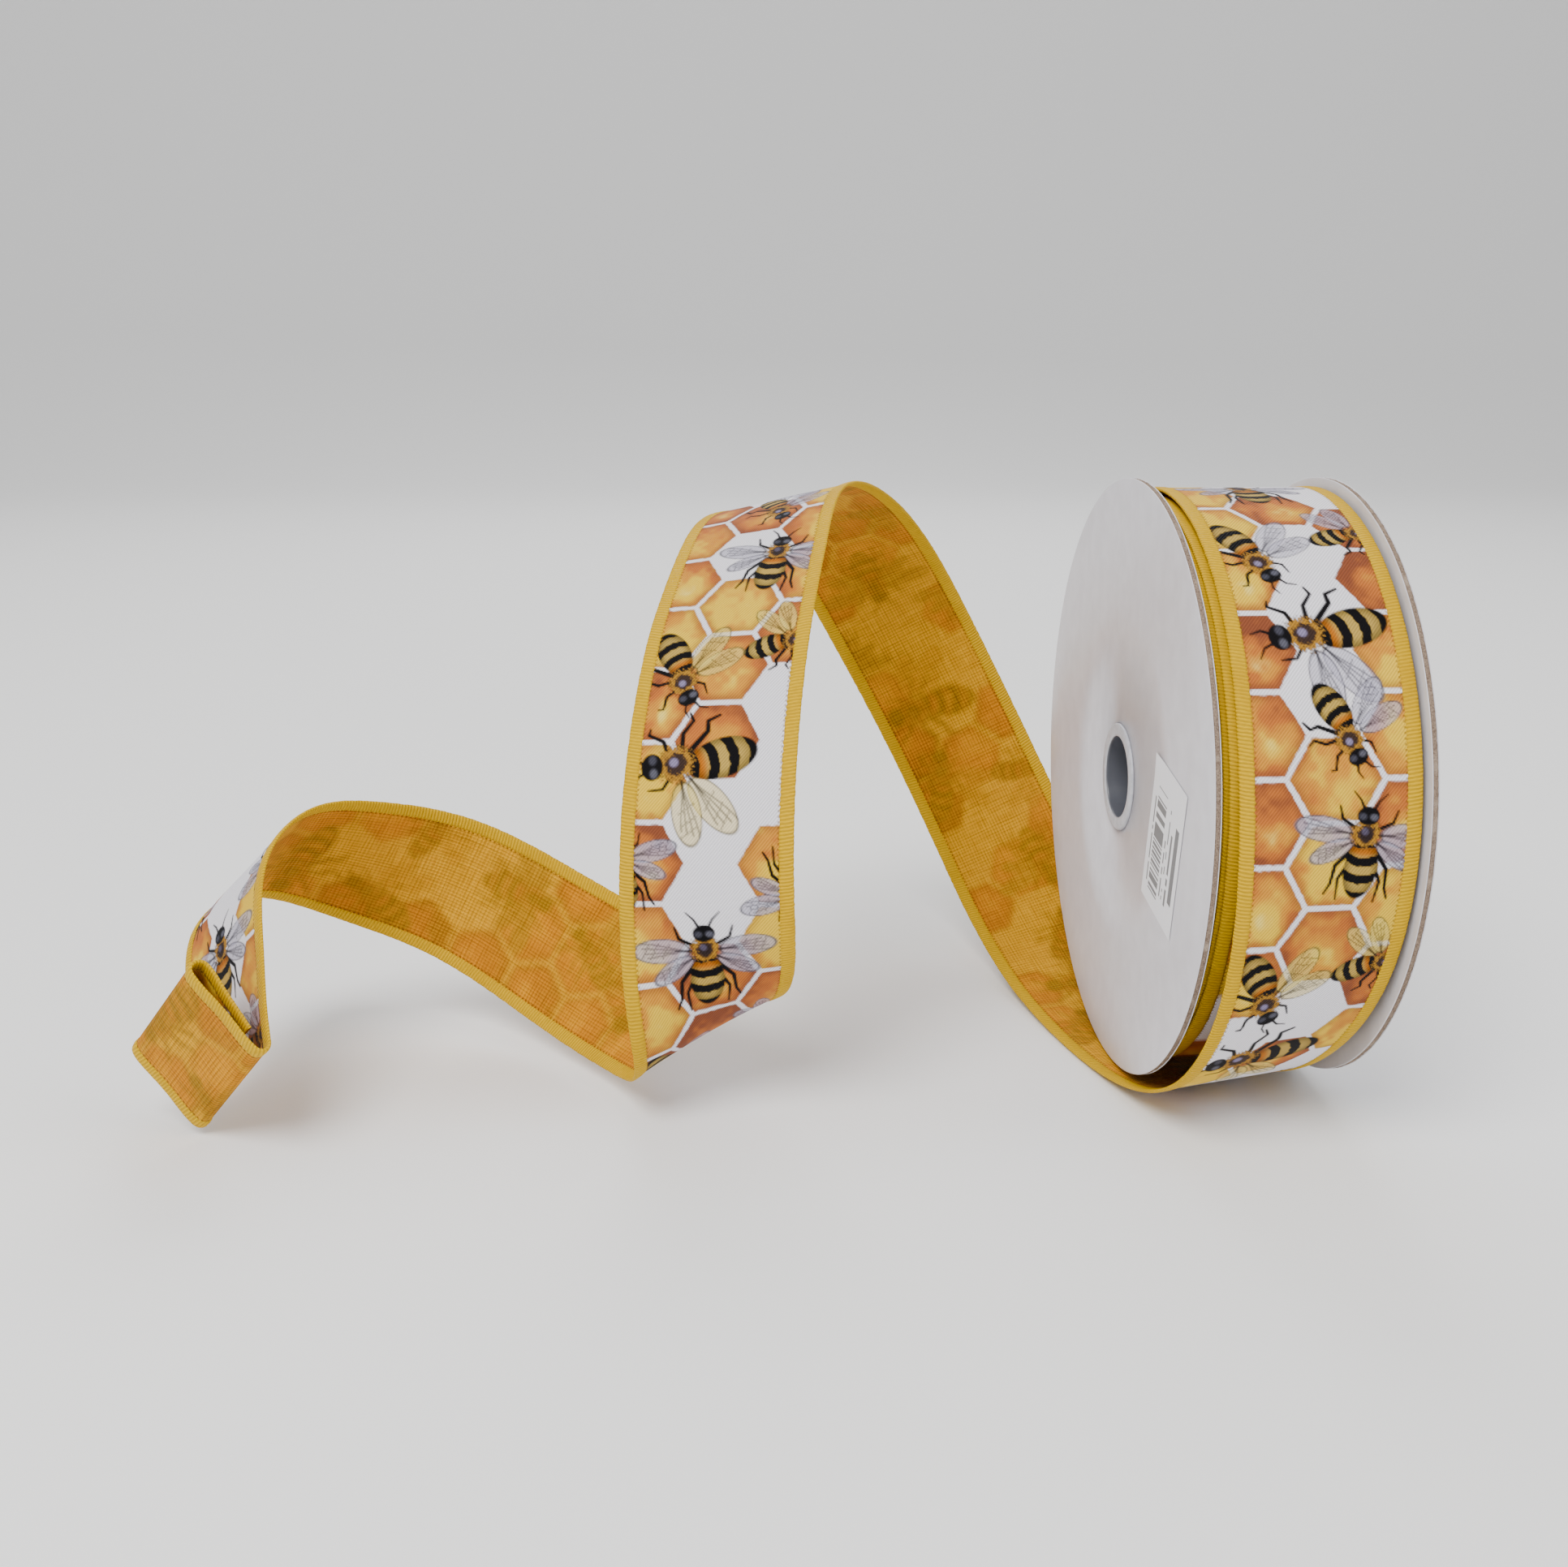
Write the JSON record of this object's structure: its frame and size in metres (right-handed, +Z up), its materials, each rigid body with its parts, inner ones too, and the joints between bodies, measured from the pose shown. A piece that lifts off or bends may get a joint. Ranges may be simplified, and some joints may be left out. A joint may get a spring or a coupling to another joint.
{
  "type": "ribbon spool",
  "caption": "Cardboard flanged spool wound with wired, double-faced printed ribbon whose loose end stands out from the front in a tall loop, a low arch and a small roll.",
  "frame": {"origin": "on the bore's axis, in the outer face of the near flange", "axes": "+X along the bore towards the far flange, +Y towards the back of the spool, away from the loose ribbon's end, +Z up from the surface it stands on"},
  "size_m": [0.274, 0.1683, 0.1413],
  "materials": {
    "coated_paper": "satin white coated paper",
    "grey_board": "raw grey board, slightly frayed",
    "core_board": "raw kraft tube",
    "hub_plastic": "satin moulded",
    "label_paper": "smooth label paper",
    "clear_tape": "glossy",
    "print_fabric": "printed twill",
    "backing_fabric": "plain linen weave",
    "edge_thread": "overlocked thread",
    "edge_wire": "drawn"
  },
  "bodies": {
    "loose_ribbon": {"loose_face_fabric": "print_fabric", "loose_backing_fabric": "backing_fabric", "loose_near_edge_thread": "edge_thread", "loose_far_edge_thread": "edge_thread", "loose_near_edge_wire": "edge_wire", "loose_far_edge_wire": "edge_wire"},
    "spool": {"near_flange_board": "grey_board", "near_flange_outer_facing": "coated_paper", "near_flange_inner_facing": "coated_paper", "far_flange_board": "grey_board", "far_flange_inner_facing": "coated_paper", "far_flange_outer_facing": "coated_paper", "winding_core": "core_board", "near_hub": "hub_plastic", "far_hub": "hub_plastic", "label_sticker": "label_paper", "starter_tape": "clear_tape", "wound_face_fabric": "print_fabric", "wound_backing_fabric": "backing_fabric", "wound_near_edge_thread": "edge_thread", "wound_far_edge_thread": "edge_thread", "wound_near_edge_wire": "edge_wire", "wound_far_edge_wire": "edge_wire"}
  },
  "joints": [
    {"name": "spool_turn", "type": "hinge", "parent": "loose_ribbon", "child": "spool", "pos_m": [0, 0, 0], "axis": [1, 0, 0], "continuous": true}
  ]
}
